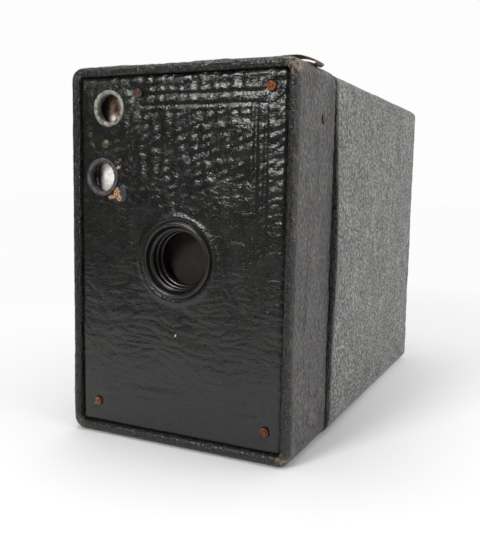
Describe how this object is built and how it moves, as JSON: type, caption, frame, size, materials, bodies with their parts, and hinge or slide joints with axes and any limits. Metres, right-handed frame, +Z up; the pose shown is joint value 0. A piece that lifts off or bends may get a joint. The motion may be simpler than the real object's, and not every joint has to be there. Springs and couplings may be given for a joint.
{
  "type": "box camera",
  "caption": "Box camera for roll film with leatherette covering, recessed lens, rotary shutter and mirror finders; the front section draws out with the film holder.",
  "frame": {"origin": "middle of the base face, halfway along the depth of the covered body", "axes": "+Z up, front with the lens towards -Y, depth along Y, width along X with the winding key at -X"},
  "size_m": [0.0988, 0.1664, 0.1298],
  "materials": {
    "case_covering": "fine pebbled black leatherette over fibreboard, greyed with wear",
    "panel_covering": "coarse wavy black leatherette, glossy",
    "strap_leather": "thin worn maroon-brown leather",
    "black_tin": "black lacquered tinplate",
    "black_card": "matt black card",
    "wood": "plain close-grained wood",
    "dull_steel": "dull tarnished steel",
    "brass": "tarnished brass",
    "worn_nickel": "worn nickel plate",
    "rusted_tack": "rusted steel",
    "finder_mirror": "tarnished silvering",
    "clear_glass": "clear glass",
    "ruby_glass": "deep red transparent window"
  },
  "bodies": {
    "rear_shell": {"rear_shell": "case_covering", "ruby_window": "ruby_glass", "ruby_window_ring": "black_tin"},
    "front_section": {"carrier_plate_left": "black_tin", "carrier_plate_right": "black_tin", "film_gate": "black_tin", "front_frame": "case_covering", "front_panel": "panel_covering", "inner_sleeve": "black_tin", "lens_board": "wood", "lens_cell": "brass", "lens_hood": "black_tin", "lens_retaining_ring": "dull_steel", "light_cone": "black_card", "meniscus_lens": "clear_glass", "panel_pin": "brass", "panel_tack_bottom_left": "rusted_tack", "panel_tack_bottom_right": "rusted_tack", "panel_tack_top_left": "rusted_tack", "panel_tack_top_right": "rusted_tack", "shutter_board": "black_card", "shutter_disc_pivot": "brass", "shutter_lever_pivot": "brass", "shutter_spring": "dull_steel", "side_finder_box": "black_tin", "side_finder_eyelet": "worn_nickel", "side_finder_frame": "worn_nickel", "side_finder_glass": "clear_glass", "side_finder_lens": "clear_glass", "side_finder_mirror": "finder_mirror", "side_nail_lower_left": "dull_steel", "side_nail_lower_right": "dull_steel", "side_nail_upper_left": "dull_steel", "side_nail_upper_right": "dull_steel", "spool_spring_lower_left": "dull_steel", "spool_spring_lower_right": "dull_steel", "spool_spring_upper_right": "dull_steel", "strap": "strap_leather", "strap_rivet_left": "brass", "strap_rivet_right": "brass", "top_finder_box": "black_tin", "top_finder_eyelet": "worn_nickel", "top_finder_frame": "worn_nickel", "top_finder_glass": "clear_glass", "top_finder_lens": "clear_glass", "top_finder_mirror": "finder_mirror"},
    "shutter_lever": {"shutter_lever": "dull_steel"},
    "shutter_disc": {"shutter_disc": "dull_steel"},
    "stop_slide": {"stop_slide": "brass"},
    "time_slide": {"time_slide": "brass"},
    "key_collar": {"key_collar": "brass"},
    "winding_key": {"winding_key": "worn_nickel"},
    "take_up_spool": {"take_up_spool_core": "wood", "take_up_spool_flange_left": "black_tin", "take_up_spool_flange_right": "black_tin"},
    "supply_spool": {"supply_spool_core": "wood", "supply_spool_flange_left": "black_tin", "supply_spool_flange_right": "black_tin"},
    "film_roller_upper": {"film_roller_upper": "dull_steel"},
    "film_roller_lower": {"film_roller_lower": "dull_steel"}
  },
  "joints": [
    {"name": "front_section_draw", "type": "slide", "parent": "rear_shell", "child": "front_section", "axis": [0, -1, 0], "range_m": [0, 0.125]},
    {"name": "shutter_lever_swing", "type": "hinge", "parent": "front_section", "child": "shutter_lever", "pos_m": [-0.03, -0.07225, 0.034], "axis": [0, -1, 0], "range_deg": [0, 28]},
    {"name": "shutter_disc_turn", "type": "hinge", "parent": "front_section", "child": "shutter_disc", "pos_m": [0.003, -0.0707, 0.048], "axis": [0, 1, 0], "range_deg": [0, 112]},
    {"name": "stop_slide_pull", "type": "slide", "parent": "front_section", "child": "stop_slide", "axis": [0, 0, 1], "range_m": [0, 0.026]},
    {"name": "time_slide_pull", "type": "slide", "parent": "front_section", "child": "time_slide", "axis": [-1, 0, 0], "range_m": [0, 0.006]},
    {"name": "winding_key_turn", "type": "hinge", "parent": "front_section", "child": "key_collar", "pos_m": [-0.038, -0.028, 0.1063], "axis": [-1, 0, 0], "continuous": true},
    {"name": "winding_key_pull", "type": "slide", "parent": "key_collar", "child": "winding_key", "axis": [-1, 0, 0], "range_m": [0, 0.005]},
    {"name": "take_up_spool_spin", "type": "hinge", "parent": "front_section", "child": "take_up_spool", "pos_m": [0, -0.028, 0.1063], "axis": [-1, 0, 0], "continuous": true},
    {"name": "supply_spool_spin", "type": "hinge", "parent": "front_section", "child": "supply_spool", "pos_m": [0, -0.028, 0.0197], "axis": [-1, 0, 0], "continuous": true},
    {"name": "film_roller_upper_spin", "type": "hinge", "parent": "front_section", "child": "film_roller_upper", "pos_m": [0, 0.0695, 0.1195], "axis": [-1, 0, 0], "continuous": true},
    {"name": "film_roller_lower_spin", "type": "hinge", "parent": "front_section", "child": "film_roller_lower", "pos_m": [0, 0.0695, 0.0065], "axis": [-1, 0, 0], "continuous": true}
  ],
  "couplings": [
    {"joint": "shutter_disc_turn", "follows": "shutter_lever_swing", "ratio": 4},
    {"joint": "take_up_spool_spin", "follows": "winding_key_turn", "ratio": 1}
  ]
}
